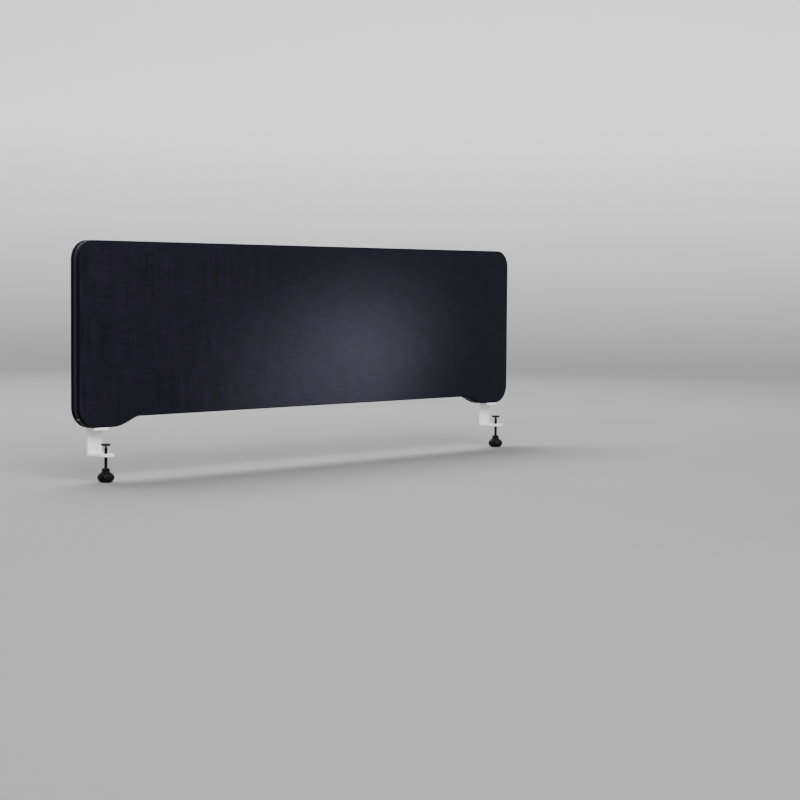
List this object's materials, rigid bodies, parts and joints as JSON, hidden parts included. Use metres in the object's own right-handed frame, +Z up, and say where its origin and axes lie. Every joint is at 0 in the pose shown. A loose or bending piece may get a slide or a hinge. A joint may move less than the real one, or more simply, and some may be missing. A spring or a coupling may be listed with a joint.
{
  "type": "desk privacy panel",
  "caption": "Long fabric-covered desk privacy panel with rounded corners, low feet, an edge zip and screw clamps that grip the rear edge of a desk.",
  "frame": {"origin": "on the desk top (the plane of both clamps' upper seats), halfway along the panel and in the panel's middle plane", "axes": "+X along the panel towards the right end as the person at the desk sees it, +Y away from that person, +Z up; the clamps' arms point to -Y"},
  "size_m": [1.6038, 0.0655, 0.5615],
  "materials": {
    "cover_fabric": "woven, near-black with a slight violet tint",
    "wadding": "matte",
    "absorber": "matte",
    "frame_wood": "matte",
    "tape": "satin",
    "coil": "satin",
    "bare_steel": "satin",
    "black_steel": "satin",
    "white_paint": "satin",
    "black_plastic": "matte",
    "rubber": "matte",
    "insert_brass": "satin"
  },
  "bodies": {
    "panel": {"front_cover": "cover_fabric", "rear_cover": "cover_fabric", "front_wadding": "wadding", "rear_wadding": "wadding", "absorber_board": "absorber", "top_rail": "frame_wood", "left_stile": "frame_wood", "right_stile": "frame_wood", "bottom_rail": "frame_wood", "left_foot_block": "frame_wood", "right_foot_block": "frame_wood", "left_foot_inserts": "insert_brass", "right_foot_inserts": "insert_brass", "zip_tape_front": "tape", "zip_tape_rear": "tape", "base_tape": "tape", "zip_coil": "coil", "zip_end_stops": "bare_steel", "left_clamp_bracket": "white_paint", "right_clamp_bracket": "white_paint", "left_bracket_screws": "bare_steel", "right_bracket_screws": "bare_steel"},
    "zip_slider": {"zip_slider": "black_steel"},
    "zip_pull": {"zip_pull": "black_steel"},
    "left_pad": {"left_pad_cup": "black_steel", "left_pad_face": "rubber"},
    "left_spindle": {"left_clamp_screw": "black_steel", "left_knob": "black_plastic"},
    "right_pad": {"right_pad_cup": "black_steel", "right_pad_face": "rubber"},
    "right_spindle": {"right_clamp_screw": "black_steel", "right_knob": "black_plastic"}
  },
  "joints": [
    {"name": "zip_slide", "type": "slide", "parent": "panel", "child": "zip_slider", "axis": [0, 0, 1], "range_m": [0, 0.32]},
    {"name": "zip_pull_swing", "type": "hinge", "parent": "zip_slider", "child": "zip_pull", "pos_m": [0.8023, 0, 0.062], "axis": [0, -1, 0], "range_deg": [0, 178]},
    {"name": "left_clamp_travel", "type": "slide", "parent": "panel", "child": "left_pad", "axis": [0, 0, 1], "range_m": [-0.015, 0.0275]},
    {"name": "left_knob_turn", "type": "hinge", "parent": "left_pad", "child": "left_spindle", "pos_m": [-0.732, -0.0295, -0.0348], "axis": [0, 0, 1], "range_deg": [-4325, 7925]},
    {"name": "right_clamp_travel", "type": "slide", "parent": "panel", "child": "right_pad", "axis": [0, 0, 1], "range_m": [-0.015, 0.0275]},
    {"name": "right_knob_turn", "type": "hinge", "parent": "right_pad", "child": "right_spindle", "pos_m": [0.732, -0.0295, -0.0348], "axis": [0, 0, 1], "range_deg": [-4325, 7925]}
  ],
  "couplings": [
    {"joint": "left_knob_turn", "follows": "left_clamp_travel", "rad_per_m": 5026.5},
    {"joint": "right_knob_turn", "follows": "right_clamp_travel", "rad_per_m": 5026.5}
  ]
}
